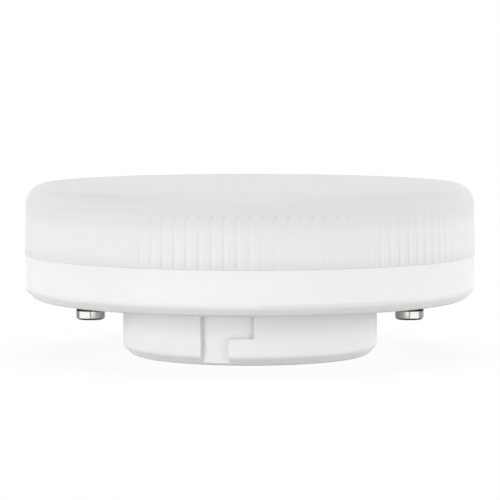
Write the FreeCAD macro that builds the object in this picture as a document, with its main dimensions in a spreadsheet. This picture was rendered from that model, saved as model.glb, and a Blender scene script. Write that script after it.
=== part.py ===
import FreeCAD, Part
import math
import os
from types import SimpleNamespace

import Sketcher
from FreeCAD import Placement, Rotation, Vector

# Disc lamp with a two-pin bayonet hub, standing on the face of its hub with the cover up.
# Frame: origin at the centre of the hub's face, +Z up through the cover, pins on the X axis.
# Lengths are in millimetres and angles in degrees.
SIZES = {
    # Cap and overall sizes
    "pin_circle_diameter": 53.0,  # between the contact pins' centres, set by the cap's standard
    "pin_gap_width": 5.4,  # from the hub's wall out to a pin's centre
    "rim_width": 10.8,  # from a pin's centre out to the cover's lower rim, its widest place
    "lamp_height": 28.3,  # hub face to the cover's top
    # Cover
    "cover_draft": 1.5,  # slope of the wall, which lets it leave the mould
    "cover_corner": 3.4,
    "cover_wall": 1.6,
    "lip_wall": 1.2,  # the lip snaps into the housing's rim
    "lip_depth": 3.0,
    "lip_root": 2.0,  # height over which the lip joins the wall
    "lip_lead": 0.4,
    "lip_gap": 0.1,
    "bead_height": 0.3,
    "bead_drop": 1.8,  # from the seam down to the middle of the bead
    "flute_count": 120,
    "flute_width": 1.0,
    "flute_depth": 0.35,
    # Housing
    "cover_overhang": 0.15,  # the cover's rim stands out over the housing by this much
    "ring_bottom": 9.4,  # underside of the ring, which meets the lamp holder
    "rim_height": 7.35,  # from there to the seam, where the cover's rim sits on the housing's
    "ring_chamfer": 1.5,  # slanted edge all round the ring's underside
    "ring_round": 1.2,
    "rim_corner": 1.0,
    "rim_chamfer": 0.15,
    "housing_wall": 1.6,
    "hub_chamfer_width": 1.5,
    "hub_chamfer_height": 1.45,
    "hub_round": 1.0,
    "hub_mouth_round": 0.6,
    "keyway_depth": 1.0,
    "keyway_side": 22.1,  # angle from the front of the hub to the entry's closed wall
    "keyway_entry": 12.8,  # angle across the upright run, open at the hub's face
    "keyway_sweep": 23.7,  # angle across both runs
    "keyway_ledge": 4.45,  # height of the ledge under the level run
    "keyway_count": 2,
    "backing_margin": 2.5,  # angle by which the wall behind a keyway is thick past its ends
    # Contact pins
    "pin_reach": 3.8,  # ring's underside to the end of the head
    "pin_head_radius": 2.4,
    "pin_head_height": 2.0,
    "pin_chamfer": 0.3,
    "pin_neck_radius": 1.5,
    "pin_shank_radius": 1.2,
    "pin_fit": 0.05,
    "rivet_radius": 2.0,
    "rivet_height": 0.5,
    "tail_radius": 0.7,
    "tail_height": 1.3,
    "pin_boss_radius": 3.2,
    "pin_boss_height": 0.9,
    # Heat spreader
    "spreader_height": 5.9,
    "spreader_wall": 1.0,
    "spreader_gap": 0.3,
    "spreader_bend": 1.4,
    # Light board and its packages
    "board_margin": 3.0,
    "board_thickness": 1.0,
    "package_length": 3.5,
    "package_width": 2.8,
    "package_height": 0.7,
    "package_notch": 0.5,
    "well_radius": 1.15,
    "well_depth": 0.1,
    "outer_led_count": 12,
    "inner_led_count": 4,
    "inner_led_circle": 9.0,
    # Screws that hold board and spreader
    "screw_count": 3,
    "screw_offset": 3.4,  # from the hub's wall to the screws
    "screw_boss_radius": 2.75,
    "screw_hole_radius": 1.1,
    "screw_hole_depth": 4.6,
    "screw_fit": 0.05,
    "screw_clearance": 0.25,
    "screw_reach": 4.0,  # how far the screws go down into their bosses
    "screw_head_radius": 2.3,
    "screw_head_height": 1.5,
    "screw_head_chamfer": 0.6,
    "recess_depth": 0.9,
    "recess_arm": 1.2,
    "recess_width": 0.5,
    # Driver board
    "driver_gap": 0.4,
    "driver_standoff": 2.4,
    "driver_thickness": 1.6,
    "driver_rib_count": 4,
    "driver_rib_width": 1.2,
    "driver_rib_overlap": 1.5,
    # Parts on the driver board
    "input_can_radius": 3.15,
    "output_can_radius": 2.5,
    "can_headroom": 1.4,  # from the cans' tops to the heat spreader
    "can_groove": 0.3,
    "can_groove_height": 1.2,
    "can_rim": 0.4,
    "choke_radius": 3.2,
    "choke_headroom": 1.9,
    "choke_flange": 1.1,
    "choke_core_radius": 1.5,
    "choke_winding_radius": 2.9,
    "bridge_length": 4.7,
    "bridge_width": 3.9,
    "bridge_height": 2.4,
    "bridge_pitch": 2.54,
    "chip_length": 4.9,
    "chip_width": 3.9,
    "chip_height": 1.5,
    "chip_pitch": 1.27,
    "diode_length": 2.6,
    "diode_width": 4.3,
    "diode_height": 2.1,
    "lead_frame_thickness": 0.25,
    "lead_frame_width": 0.5,
    "lead_frame_reach": 1.1,
    "package_lift": 0.15,
    "resistor_radius": 1.5,
    "resistor_waist": 1.25,
    "resistor_length": 8.0,
    "resistor_cap": 1.6,
    "resistor_lead_radius": 0.35,
    "resistor_lead_span": 12.0,
    "resistor_bend": 1.0,
    # Insulated leads
    "lead_radius": 0.6,
    "lead_bend": 3.6,
    "lead_edge_gap": 1.6,  # from an input lead's foot out to the driver board's edge
    "output_lead_spacing": 3.0,
    "output_lead_run": 2.4,
    "window_clearance": 0.4,
    # Places on the driver board, as shares of its radius
    "can_across": 0.57,
    "can_along": 0.36,
    "choke_along": 0.47,
    "package_across": 0.235,
    "package_back": 0.056,
    "diode_back": 0.447,
    "resistor_back": 0.7,
    "output_lead_along": 0.81,
}

doc = FreeCAD.newDocument("disc_lamp")
sheet = doc.addObject("Spreadsheet::Sheet", "Sizes")
for row, (alias, amount) in enumerate(SIZES.items(), start=1):
    sheet.set(f"A{row}", alias)
    sheet.set(f"B{row}", str(amount))
    sheet.setAlias(f"B{row}", alias)
doc.recompute()


class Size:
    # A number together with the sheet expression that it was worked out from.
    def __init__(self, value, text):
        self.value = value
        self.text = text

    def joined(self, sign, other, value):
        text = other.text if isinstance(other, Size) else str(other)
        return Size(value, f"({self.text} {sign} {text})")

    def __add__(self, other):
        return self.joined("+", other, self.value + plain(other))

    def __sub__(self, other):
        return self.joined("-", other, self.value - plain(other))

    def __mul__(self, other):
        return self.joined("*", other, self.value * plain(other))

    def __truediv__(self, other):
        return self.joined("/", other, self.value / plain(other))

    def __neg__(self):
        return Size(-self.value, f"(-1 * {self.text})")


def plain(amount):
    return amount.value if isinstance(amount, Size) else amount


def tangent(angle):
    return Size(math.tan(math.radians(angle.value)), f"tan({angle.text} * 1deg)")


def around(circle, degrees):
    # The place on a circle about the origin, at an angle from the X axis.
    turn = math.radians(degrees)
    return (
        Size(circle.value * math.cos(turn), f"({circle.text} * cos({degrees}deg))"),
        Size(circle.value * math.sin(turn), f"({circle.text} * sin({degrees}deg))"),
    )


s = SimpleNamespace(**{name: Size(amount, f"Sizes.{name}") for name, amount in SIZES.items()})

# Places that follow from the driving sizes.
pin_centre = s.pin_circle_diameter / 2
hub_radius = pin_centre - s.pin_gap_width
cover_radius = pin_centre + s.rim_width
seam_height = s.ring_bottom + s.rim_height
slope = tangent(s.cover_draft)
cover_top_radius = cover_radius - (s.lamp_height - seam_height) * slope
ring_radius = cover_radius - s.cover_overhang
rim_inner = ring_radius - s.housing_wall
lip_outer = rim_inner - s.lip_gap
lip_inner = lip_outer - s.lip_wall
bead_middle = seam_height - s.bead_drop
floor_top = s.ring_bottom + s.housing_wall
hub_inner = hub_radius - s.housing_wall
backing_inner = hub_inner - s.keyway_depth
pin_bottom = s.ring_bottom - s.pin_reach
pin_boss_top = floor_top + s.pin_boss_height
tail_bottom = pin_boss_top + s.rivet_height
spreader_radius = lip_inner - s.spreader_gap
spreader_top = floor_top + s.spreader_height
spreader_under = spreader_top - s.spreader_wall
board_radius = spreader_radius - s.board_margin
board_top = spreader_top + s.board_thickness
screw_circle = hub_radius + s.screw_offset
driver_radius = backing_inner - s.driver_gap
driver_bottom = s.housing_wall + s.driver_standoff
driver_top = driver_bottom + s.driver_thickness
can_height = spreader_under - driver_top - s.can_headroom
choke_height = spreader_under - driver_top - s.choke_headroom
lead_drop = driver_radius - s.lead_edge_gap
output_lead_place = driver_radius * s.output_lead_along
window_half = s.output_lead_spacing / 2 + s.lead_radius + s.window_clearance
window_far = output_lead_place + s.lead_radius + s.window_clearance
window_near = output_lead_place - s.lead_bend - s.window_clearance


def bind(item, name, amount):
    item.setExpression(name, amount.text)


def new_body(label):
    body = doc.addObject("PartDesign::Body", label)
    body.Label = label
    return body


def origin_part(body, role):
    return [part for part in body.Origin.OriginFeatures if part.Role == role][0]


def new_sketch(body, role, lift=None, turn=None):
    # A sketch on one of the body's own planes, lifted off it or turned about its upright axis.
    sketch = body.newObject("Sketcher::SketchObject", f"{body.Name}_sketch")
    sketch.AttachmentSupport = [(origin_part(body, role), "")]
    sketch.MapMode = "FlatFace"
    if turn is not None:
        sketch.AttachmentOffset = Placement(Vector(), Rotation(Vector(0, 1, 0), turn.value))
        bind(sketch, "AttachmentOffset.Rotation.Angle", turn)
    if lift is not None:
        bind(sketch, "AttachmentOffset.Base.z", lift)
    return sketch


def spot(point):
    return Vector(plain(point[0]), plain(point[1]), 0)


def hold_distance(sketch, kind, item, end, amount):
    index = sketch.addConstraint(Sketcher.Constraint(kind, -1, 1, item, end, amount.value))
    bind(sketch, f"Constraints[{index}]", amount)


def hold(sketch, item, end, point):
    # Fixes one point of a shape by its distances from the sketch's axes, or on an axis itself.
    for kind, axis, amount in (("DistanceX", -2, point[0]), ("DistanceY", -1, point[1])):
        if isinstance(amount, Size):
            hold_distance(sketch, kind, item, end, amount)
        else:
            sketch.addConstraint(Sketcher.Constraint("PointOnObject", item, end, axis))


def hold_radius(sketch, item, radius):
    index = sketch.addConstraint(Sketcher.Constraint("Radius", item, radius.value))
    bind(sketch, f"Constraints[{index}]", radius)


def add_circle(sketch, centre, radius):
    item = sketch.addGeometry(Part.Circle(spot(centre), Vector(0, 0, 1), radius.value))
    hold(sketch, item, 3, centre)
    hold_radius(sketch, item, radius)


def add_bend(sketch, before, after, corner, radius):
    # A tangent arc between the end of one line and the start of the next, round their corner.
    way_in = sketch.Geometry[before].EndPoint - sketch.Geometry[before].StartPoint
    way_out = sketch.Geometry[after].EndPoint - sketch.Geometry[after].StartPoint
    way_in.normalize()
    way_out.normalize()
    leave = sketch.Geometry[before].EndPoint
    join = sketch.Geometry[after].StartPoint
    left = way_in.cross(way_out).z > 0
    inwards = (way_out - way_in).normalize()
    reach = math.hypot(radius.value, (leave - corner).Length)
    centre = corner + inwards * reach
    begin, end = (leave, join) if left else (join, leave)
    low = math.atan2(begin.y - centre.y, begin.x - centre.x)
    high = math.atan2(end.y - centre.y, end.x - centre.x)
    if high < low:
        high += 2 * math.pi
    circle = Part.Circle(centre, Vector(0, 0, 1), radius.value)
    arc = sketch.addGeometry(Part.ArcOfCircle(circle, low, high))
    sketch.addConstraint(Sketcher.Constraint("Tangent", before, 2, arc, 1 if left else 2))
    sketch.addConstraint(Sketcher.Constraint("Tangent", after, 1, arc, 2 if left else 1))
    hold_radius(sketch, arc, radius)


def add_outline(sketch, points):
    # A closed outline through the points. A point's third value rounds its corner.
    count = len(points)
    spots = [spot(point) for point in points]
    trims = []
    for index, point in enumerate(points):
        back = spots[index - 1] - spots[index]
        ahead = spots[(index + 1) % count] - spots[index]
        radius = plain(point[2]) if len(point) == 3 else 0
        trims.append(radius / math.tan(back.getAngle(ahead) / 2))
    lines = []
    for index in range(count):
        following = (index + 1) % count
        way = (spots[following] - spots[index]).normalize()
        start = spots[index] + way * trims[index]
        stop = spots[following] - way * trims[following]
        lines.append(sketch.addGeometry(Part.LineSegment(start, stop)))
    for index, point in enumerate(points):
        before = lines[index - 1]
        after = lines[index]
        if len(point) == 2:
            sketch.addConstraint(Sketcher.Constraint("Coincident", before, 2, after, 1))
            hold(sketch, after, 1, point)
            continue
        corner = sketch.addGeometry(Part.Point(spots[index]), True)
        hold(sketch, corner, 1, point)
        sketch.addConstraint(Sketcher.Constraint("PointOnObject", corner, 1, before))
        sketch.addConstraint(Sketcher.Constraint("PointOnObject", corner, 1, after))
        add_bend(sketch, before, after, spots[index], point[2])


def add_route(sketch, points, bend):
    # An open path of upright and level runs, joined by tangent arcs of one radius.
    lines = []
    last_run = len(points) - 2
    for index, (start, stop) in enumerate(zip(points, points[1:])):
        way = (spot(stop) - spot(start)).normalize()
        first = spot(start) + way * (bend.value if index > 0 else 0)
        last = spot(stop) - way * (bend.value if index < last_run else 0)
        item = sketch.addGeometry(Part.LineSegment(first, last))
        level = abs(way.x) > abs(way.y)
        sketch.addConstraint(Sketcher.Constraint("Horizontal" if level else "Vertical", item))
        if 0 < index < last_run:
            kind = "DistanceY" if level else "DistanceX"
            place = start[1] if level else start[0]
            hold_distance(sketch, kind, item, 1, place)
        lines.append(item)
    hold(sketch, lines[0], 1, points[0])
    hold(sketch, lines[-1], 2, points[-1])
    for before, after, corner in zip(lines, lines[1:], points[1:]):
        add_bend(sketch, before, after, spot(corner), bend)


def feature(body, kind, sketch=None):
    made = body.newObject(f"PartDesign::{kind}", f"{body.Name}_{kind}")
    if sketch is not None:
        made.Profile = sketch
    body.Tip = made
    return made


def revolve(body, points, turn=None, angle=None, cut=False):
    # Turns an outline in the upright plane about the upright axis, all round or through an angle.
    sketch = new_sketch(body, "XZ_Plane", turn=turn)
    add_outline(sketch, points)
    made = feature(body, "Groove" if cut else "Revolution", sketch)
    made.ReferenceAxis = (sketch, ["V_Axis"])
    if angle is not None:
        bind(made, "Angle", angle)
    return made


def pad(body, sketch, length):
    made = feature(body, "Pad", sketch)
    bind(made, "Length", length)
    return made


def pocket(body, sketch, depth, upwards=True):
    made = feature(body, "Pocket", sketch)
    made.Reversed = upwards
    bind(made, "Length", depth)
    return made


def pipe(body, centre, radius, lift, role, offset, points, bend):
    # A round tube or wire that starts square to the level plane and follows a route.
    ring = new_sketch(body, "XY_Plane", lift=lift)
    add_circle(ring, centre, radius)
    path = new_sketch(body, role, lift=offset)
    add_route(path, points, bend)
    doc.recompute()
    made = feature(body, "AdditivePipe", ring)
    made.Spine = (path, [f"Edge{number + 1}" for number in range(len(path.Shape.Edges))])
    return made


def ring_pattern(body, originals, count):
    made = feature(body, "PolarPattern")
    made.Originals = originals
    made.Axis = (origin_part(body, "Z_Axis"), [""])
    made.Angle = 360
    bind(made, "Occurrences", count)
    body.Tip = made
    return made


def place(body, x=None, y=None, z=None, turn=0):
    body.Placement = Placement(Vector(), Rotation(Vector(0, 0, 1), turn))
    for name, amount in (("x", x), ("y", y), ("z", z)):
        if amount is not None:
            bind(body, f"Placement.Base.{name}", amount)


def diffuser_cover():
    # Milky cover: drafted wall, flat top, flutes inside the wall, and a snap lip with a bead.
    body = new_body("diffuser_cover")
    step_top = seam_height + s.lip_root
    wall_foot = cover_radius - s.cover_wall - s.lip_root * slope
    ceiling = s.lamp_height - s.cover_wall
    wall_head = cover_top_radius - s.cover_wall
    inner_corner = s.cover_corner - s.cover_wall
    lip_bottom = seam_height - s.lip_depth
    revolve(
        body,
        [
            (cover_radius, seam_height),
            (cover_top_radius, s.lamp_height, s.cover_corner),
            (0, s.lamp_height),
            (0, ceiling),
            (wall_head, ceiling, inner_corner),
            (wall_foot, step_top),
            (lip_inner, step_top - (wall_foot - lip_inner)),
            (lip_inner, lip_bottom),
            (lip_outer - s.lip_lead, lip_bottom),
            (lip_outer, lip_bottom + s.lip_lead),
            (lip_outer, bead_middle - s.bead_height),
            (lip_outer + s.bead_height, bead_middle),
            (lip_outer, bead_middle + s.bead_height),
            (lip_outer, seam_height),
        ],
    )
    flute = new_sketch(body, "XY_Plane", lift=step_top)
    mouth = wall_foot - s.flute_depth
    add_outline(flute, [(mouth, -s.flute_width), (wall_foot + s.flute_depth, 0), (mouth, s.flute_width)])
    cut = pocket(body, flute, ceiling - inner_corner - step_top)
    ring_pattern(body, [cut], s.flute_count)
    return body


def housing():
    # White tray moulded in one piece: rim, floor, hub, keyways, bosses and ribs.
    body = new_body("housing")
    groove = s.bead_height + s.lip_gap
    revolve(
        body,
        [
            (0, 0),
            (hub_radius - s.hub_chamfer_width, 0, s.hub_round),
            (hub_radius, s.hub_chamfer_height, s.hub_round),
            (hub_radius, s.ring_bottom),
            (ring_radius - s.ring_chamfer, s.ring_bottom, s.ring_round),
            (ring_radius, s.ring_bottom + s.ring_chamfer, s.ring_round),
            (ring_radius, seam_height - s.rim_chamfer),
            (ring_radius - s.rim_chamfer, seam_height),
            (rim_inner, seam_height),
            (rim_inner, bead_middle + groove),
            (lip_outer + groove, bead_middle),
            (rim_inner, bead_middle - groove),
            (rim_inner, floor_top, s.rim_corner),
            (hub_inner, floor_top, s.hub_mouth_round),
            (hub_inner, s.housing_wall),
            (0, s.housing_wall),
        ],
    )
    keyways(body)
    pin_bosses(body)
    screw_bosses(body)
    driver_ribs(body)
    return body


def ring_section(near, far, low, high):
    return [(near, low), (far, low), (far, high), (near, high)]


def keyway_cutter():
    # L-shaped space: an upright run open at the hub's face, and a level run over a ledge.
    cutter = new_body("keyway_cutter")
    near = hub_radius - s.keyway_depth
    far = hub_radius + s.keyway_depth
    entry_side = -(s.keyway_side + 90)
    space = revolve(
        cutter,
        ring_section(near, far, -s.keyway_depth, s.ring_bottom),
        turn=entry_side,
        angle=s.keyway_sweep,
    )
    ledge = revolve(
        cutter,
        ring_section(near - s.keyway_depth, far + s.keyway_depth, -s.keyway_depth * 2, s.keyway_ledge),
        turn=entry_side + s.keyway_entry,
        angle=s.keyway_sweep,
        cut=True,
    )
    ring_pattern(cutter, [space, ledge], s.keyway_count)
    return cutter


def keyways(body):
    # The hub's wall is thicker behind each keyway, so that it stays as thick at its floor.
    backing = revolve(
        body,
        ring_section(
            backing_inner,
            hub_inner + s.housing_wall / 4,
            s.housing_wall / 2,
            floor_top - s.hub_mouth_round,
        ),
        turn=-(s.keyway_side + s.backing_margin + 90),
        angle=s.keyway_sweep + s.backing_margin * 2,
    )
    ring_pattern(body, [backing], s.keyway_count)
    cutter = keyway_cutter()
    cut = feature(body, "Boolean")
    cut.Type = "Cut"
    cut.setObjects([cutter])


def pin_bosses(body):
    # A low boss and a through hole on each side for the contact pins.
    pins = Size(2, "2")
    foot = s.ring_bottom + s.housing_wall / 2
    boss = new_sketch(body, "XY_Plane", lift=foot)
    add_circle(boss, (pin_centre, 0), s.pin_boss_radius)
    ring_pattern(body, [pad(body, boss, pin_boss_top - foot)], pins)
    hole = new_sketch(body, "XY_Plane", lift=s.ring_bottom - s.pin_boss_height)
    add_circle(hole, (pin_centre, 0), s.pin_shank_radius + s.pin_fit)
    depth = pin_boss_top - s.ring_bottom + s.pin_boss_height * 2
    ring_pattern(body, [pocket(body, hole, depth)], pins)


def screw_bosses(body):
    # Tall bosses with blind holes, which carry the middle of the heat spreader.
    foot = s.ring_bottom + s.housing_wall / 2
    boss = new_sketch(body, "XY_Plane", lift=foot)
    add_circle(boss, (0, screw_circle), s.screw_boss_radius)
    ring_pattern(body, [pad(body, boss, spreader_under - foot)], s.screw_count)
    hole = new_sketch(body, "XY_Plane", lift=spreader_under)
    add_circle(hole, (0, screw_circle), s.screw_hole_radius)
    ring_pattern(body, [pocket(body, hole, s.screw_hole_depth, upwards=False)], s.screw_count)


def driver_ribs(body):
    # Ribs in the hub that hold the driver board off the hub's face.
    foot = s.housing_wall / 2
    rib = new_sketch(body, "XY_Plane", lift=foot)
    near = driver_radius - s.driver_rib_overlap
    far = hub_inner + s.housing_wall / 4
    half = s.driver_rib_width / 2
    add_outline(rib, [(near, -half), (far, -half), (far, half), (near, half)])
    ring_pattern(body, [pad(body, rib, driver_bottom - foot)], s.driver_rib_count)


def contact_pin(side, direction):
    # Turned pin: head and neck below the housing, shank through it, riveted over on the boss.
    body = new_body(f"contact_pin_{side}")
    head_top = pin_bottom + s.pin_head_height
    revolve(
        body,
        [
            (0, pin_bottom),
            (s.pin_head_radius - s.pin_chamfer, pin_bottom),
            (s.pin_head_radius, pin_bottom + s.pin_chamfer),
            (s.pin_head_radius, head_top - s.pin_chamfer),
            (s.pin_head_radius - s.pin_chamfer, head_top),
            (s.pin_neck_radius, head_top),
            (s.pin_neck_radius, s.ring_bottom),
            (s.pin_shank_radius, s.ring_bottom),
            (s.pin_shank_radius, pin_boss_top),
            (s.rivet_radius, pin_boss_top),
            (s.rivet_radius, tail_bottom - s.rivet_height / 2),
            (s.rivet_radius - s.rivet_height / 2, tail_bottom),
            (s.tail_radius, tail_bottom),
            (s.tail_radius, tail_bottom + s.tail_height),
            (0, tail_bottom + s.tail_height),
        ],
    )
    place(body, x=pin_centre * direction)
    return body


def screw_holes(body, bottom, depth):
    hole = new_sketch(body, "XY_Plane", lift=bottom)
    add_circle(hole, (0, screw_circle), s.screw_hole_radius + s.screw_clearance)
    ring_pattern(body, [pocket(body, hole, depth)], s.screw_count)


def lead_window(body, bottom, depth):
    window = new_sketch(body, "XY_Plane", lift=bottom)
    corners = [
        (-window_half, window_near),
        (window_half, window_near),
        (window_half, window_far),
        (-window_half, window_far),
    ]
    add_outline(window, corners)
    pocket(body, window, depth)


def heat_spreader():
    # Stamped aluminium cup, upside down, which stands on the floor by its turned-down edge.
    body = new_body("heat_spreader")
    inner = spreader_radius - s.spreader_wall
    revolve(
        body,
        [
            (0, spreader_under),
            (inner, spreader_under, s.spreader_bend - s.spreader_wall),
            (inner, floor_top),
            (spreader_radius, floor_top),
            (spreader_radius, spreader_top, s.spreader_bend),
            (0, spreader_top),
        ],
    )
    screw_holes(body, spreader_under, s.spreader_wall)
    lead_window(body, spreader_under, s.spreader_wall)
    return body


def led_board():
    body = new_body("led_board")
    disc = new_sketch(body, "XY_Plane", lift=spreader_top)
    add_circle(disc, (0, 0), board_radius)
    pad(body, disc, s.board_thickness)
    screw_holes(body, spreader_top, s.board_thickness)
    lead_window(body, spreader_top, s.board_thickness)
    return body


def led_package(number, circle, degrees):
    # Moulded package with a notched corner and a round well that holds the phosphor.
    body = new_body(f"led_{number:02d}")
    half_length = s.package_length / 2
    half_width = s.package_width / 2
    base = new_sketch(body, "XY_Plane")
    add_outline(
        base,
        [
            (-half_width, -half_length),
            (half_width, -half_length),
            (half_width, half_length - s.package_notch),
            (half_width - s.package_notch, half_length),
            (-half_width, half_length),
        ],
    )
    pad(body, base, s.package_height)
    well = new_sketch(body, "XY_Plane", lift=s.package_height)
    add_circle(well, (0, 0), s.well_radius)
    pocket(body, well, s.well_depth, upwards=False)
    x, y = around(circle, degrees)
    place(body, x=x, y=y, z=board_top, turn=degrees)
    return body


def led_ring(first, count, circle, start):
    return [led_package(first + k, circle, start + 360 * k / count) for k in range(count)]


def board_screws():
    # Self-tapping screws with pan heads and cross recesses, one node for the set.
    body = new_body("board_screws")
    sketch = new_sketch(body, "YZ_Plane")
    shank = screw_circle + s.screw_hole_radius - s.screw_fit
    head = screw_circle + s.screw_head_radius
    head_top = board_top + s.screw_head_height
    tip = spreader_under - s.screw_reach
    add_outline(
        sketch,
        [
            (screw_circle, tip),
            (shank, tip),
            (shank, board_top),
            (head, board_top),
            (head, head_top - s.screw_head_chamfer),
            (head - s.screw_head_chamfer, head_top),
            (screw_circle, head_top),
        ],
    )
    axis = sketch.addGeometry(Part.LineSegment(spot((screw_circle, tip)), spot((screw_circle, head_top))))
    sketch.setConstruction(axis, True)
    hold(sketch, axis, 1, (screw_circle, tip))
    hold(sketch, axis, 2, (screw_circle, head_top))
    screw = feature(body, "Revolution", sketch)
    screw.ReferenceAxis = (sketch, ["Axis0"])
    recess = new_sketch(body, "XY_Plane", lift=head_top)
    arm = s.recess_arm
    half = s.recess_width / 2
    cross = [
        (half, -arm), (half, -half), (arm, -half), (arm, half), (half, half), (half, arm),
        (-half, arm), (-half, half), (-arm, half), (-arm, -half), (-half, -half), (-half, -arm),
    ]
    add_outline(recess, [(x, screw_circle + y) for x, y in cross])
    slot = pocket(body, recess, s.recess_depth, upwards=False)
    ring_pattern(body, [screw, slot], s.screw_count)
    return body


def driver_board():
    body = new_body("driver_board")
    disc = new_sketch(body, "XY_Plane", lift=driver_bottom)
    add_circle(disc, (0, 0), driver_radius)
    pad(body, disc, s.driver_thickness)
    return body


def capacitor(label, radius, side):
    # Standing can with the crimped groove near its foot and a sleeve edge round its top.
    body = new_body(label)
    low = s.can_groove_height
    revolve(
        body,
        [
            (0, 0),
            (radius, 0),
            (radius, low),
            (radius - s.can_groove, low + s.can_groove),
            (radius, low + s.can_groove * 2),
            (radius, can_height - s.can_rim / 2),
            (radius - s.can_rim / 2, can_height),
            (radius - s.can_rim, can_height),
            (radius - s.can_rim, can_height - s.can_rim / 2),
            (0, can_height - s.can_rim / 2),
        ],
    )
    place(body, x=driver_radius * s.can_across * side, y=driver_radius * s.can_along, z=driver_top)
    return body


def choke_core():
    # Drum core: two flanges on a slim middle.
    body = new_body("choke_core")
    upper = choke_height - s.choke_flange
    revolve(
        body,
        [
            (0, 0),
            (s.choke_radius, 0),
            (s.choke_radius, s.choke_flange),
            (s.choke_core_radius, s.choke_flange),
            (s.choke_core_radius, upper),
            (s.choke_radius, upper),
            (s.choke_radius, choke_height),
            (0, choke_height),
        ],
    )
    place(body, y=driver_radius * s.choke_along, z=driver_top)
    return body


def choke_winding():
    body = new_body("choke_winding")
    upper = choke_height - s.choke_flange
    revolve(body, ring_section(s.choke_core_radius, s.choke_winding_radius, s.choke_flange, upper))
    place(body, y=driver_radius * s.choke_along, z=driver_top)
    return body


def flat_package(label, length, width, height, leads, pitch=None):
    # Moulded block along X, with bent leads along both long sides that reach the board.
    body = new_body(label)
    half_length = length / 2
    half_width = width / 2
    block = new_sketch(body, "XY_Plane", lift=s.package_lift)
    add_outline(
        block,
        [
            (-half_length, -half_width),
            (half_length, -half_width),
            (half_length, half_width),
            (-half_length, half_width),
        ],
    )
    pad(body, block, height - s.package_lift)
    sheet_metal = s.lead_frame_thickness
    shelf = height / 2
    foot = half_width + s.lead_frame_reach
    knee = half_width + s.lead_frame_reach / 2
    lead_pads = []
    for k in range(leads):
        middle = pitch * (k - (leads - 1) / 2) if pitch else Size(0, "0")
        lead = new_sketch(body, "YZ_Plane", lift=middle - s.lead_frame_width / 2)
        add_outline(
            lead,
            [
                (half_width - sheet_metal, shelf),
                (knee - sheet_metal, shelf),
                (knee - sheet_metal, 0),
                (foot, 0),
                (foot, sheet_metal),
                (knee, sheet_metal),
                (knee, shelf + sheet_metal),
                (half_width - sheet_metal, shelf + sheet_metal),
            ],
        )
        lead_pads.append(pad(body, lead, s.lead_frame_width))
    ring_pattern(body, lead_pads, Size(2, "2"))
    return body


def fuse_resistor():
    # Lying resistor with dipped ends, and one wire each side bent down to the board.
    body = new_body("fuse_resistor")
    axis_height = s.resistor_radius
    half_span = s.resistor_lead_span / 2
    drop = -axis_height
    level = Size(0, "0")
    pipe(
        body,
        (-half_span, 0),
        s.resistor_lead_radius,
        drop,
        "XZ_Plane",
        None,
        [(-half_span, drop), (-half_span, level), (half_span, level), (half_span, drop)],
        s.resistor_bend,
    )
    sketch = new_sketch(body, "XZ_Plane")
    end = s.resistor_length / 2
    cap = end - s.resistor_cap
    taper = s.resistor_radius - s.resistor_waist
    add_outline(
        sketch,
        [
            (-end, 0),
            (end, 0),
            (end, s.resistor_radius - taper),
            (end - taper, s.resistor_radius),
            (cap, s.resistor_radius),
            (cap - taper, s.resistor_waist),
            (-cap + taper, s.resistor_waist),
            (-cap, s.resistor_radius),
            (-end + taper, s.resistor_radius),
            (-end, s.resistor_radius - taper),
        ],
    )
    made = feature(body, "Revolution", sketch)
    made.ReferenceAxis = (sketch, ["H_Axis"])
    place(body, y=-(driver_radius * s.resistor_back), z=driver_top + axis_height)
    return body


def input_lead(side, direction):
    # From the driver board up through the hub's mouth and out to the tail of a pin.
    body = new_body(f"input_lead_{side}")
    tail_middle = tail_bottom + s.tail_height / 2
    start = (lead_drop * direction, driver_top)
    corner = (lead_drop * direction, tail_middle)
    finish = ((pin_centre - s.tail_radius) * direction, tail_middle)
    centre = (lead_drop * direction, 0)
    pipe(body, centre, s.lead_radius, driver_top, "XZ_Plane", None, [start, corner, finish], s.lead_bend)
    return body


def output_lead(side, direction):
    # From the driver board up through the window and over onto the light board.
    body = new_body(f"output_lead_{side}")
    across = s.output_lead_spacing / 2 * direction
    over = board_top + s.lead_radius
    start = (output_lead_place, driver_top)
    corner = (output_lead_place, over)
    finish = (output_lead_place - s.lead_bend - s.output_lead_run, over)
    centre = (across, output_lead_place)
    pipe(body, centre, s.lead_radius, driver_top, "YZ_Plane", across, [start, corner, finish], s.lead_bend)
    return body


def driver_packages():
    across = driver_radius * s.package_across
    back = driver_radius * s.package_back
    bridge = flat_package(
        "bridge_rectifier", s.bridge_length, s.bridge_width, s.bridge_height, 2, s.bridge_pitch
    )
    place(bridge, x=-across, y=-back, z=driver_top)
    chip = flat_package("driver_chip", s.chip_length, s.chip_width, s.chip_height, 4, s.chip_pitch)
    place(chip, x=across, y=-back, z=driver_top)
    diode = flat_package("freewheel_diode", s.diode_length, s.diode_width, s.diode_height, 1)
    place(diode, y=-(driver_radius * s.diode_back), z=driver_top, turn=90)
    return [bridge, chip, diode]


def build():
    outer_count = SIZES["outer_led_count"]
    inner_count = SIZES["inner_led_count"]
    nodes = [diffuser_cover(), housing(), contact_pin("left", -1), contact_pin("right", 1)]
    nodes += [heat_spreader(), led_board(), board_screws(), driver_board()]
    nodes += led_ring(1, outer_count, screw_circle, 180 / outer_count)
    nodes += led_ring(1 + outer_count, inner_count, s.inner_led_circle, 180 / inner_count)
    nodes.append(capacitor("input_capacitor", s.input_can_radius, -1))
    nodes.append(capacitor("output_capacitor", s.output_can_radius, 1))
    nodes += [choke_core(), choke_winding(), fuse_resistor()]
    nodes += driver_packages()
    nodes += [input_lead("left", -1), input_lead("right", 1)]
    nodes += [output_lead("positive", -1), output_lead("negative", 1)]
    doc.recompute()
    return nodes


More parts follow.
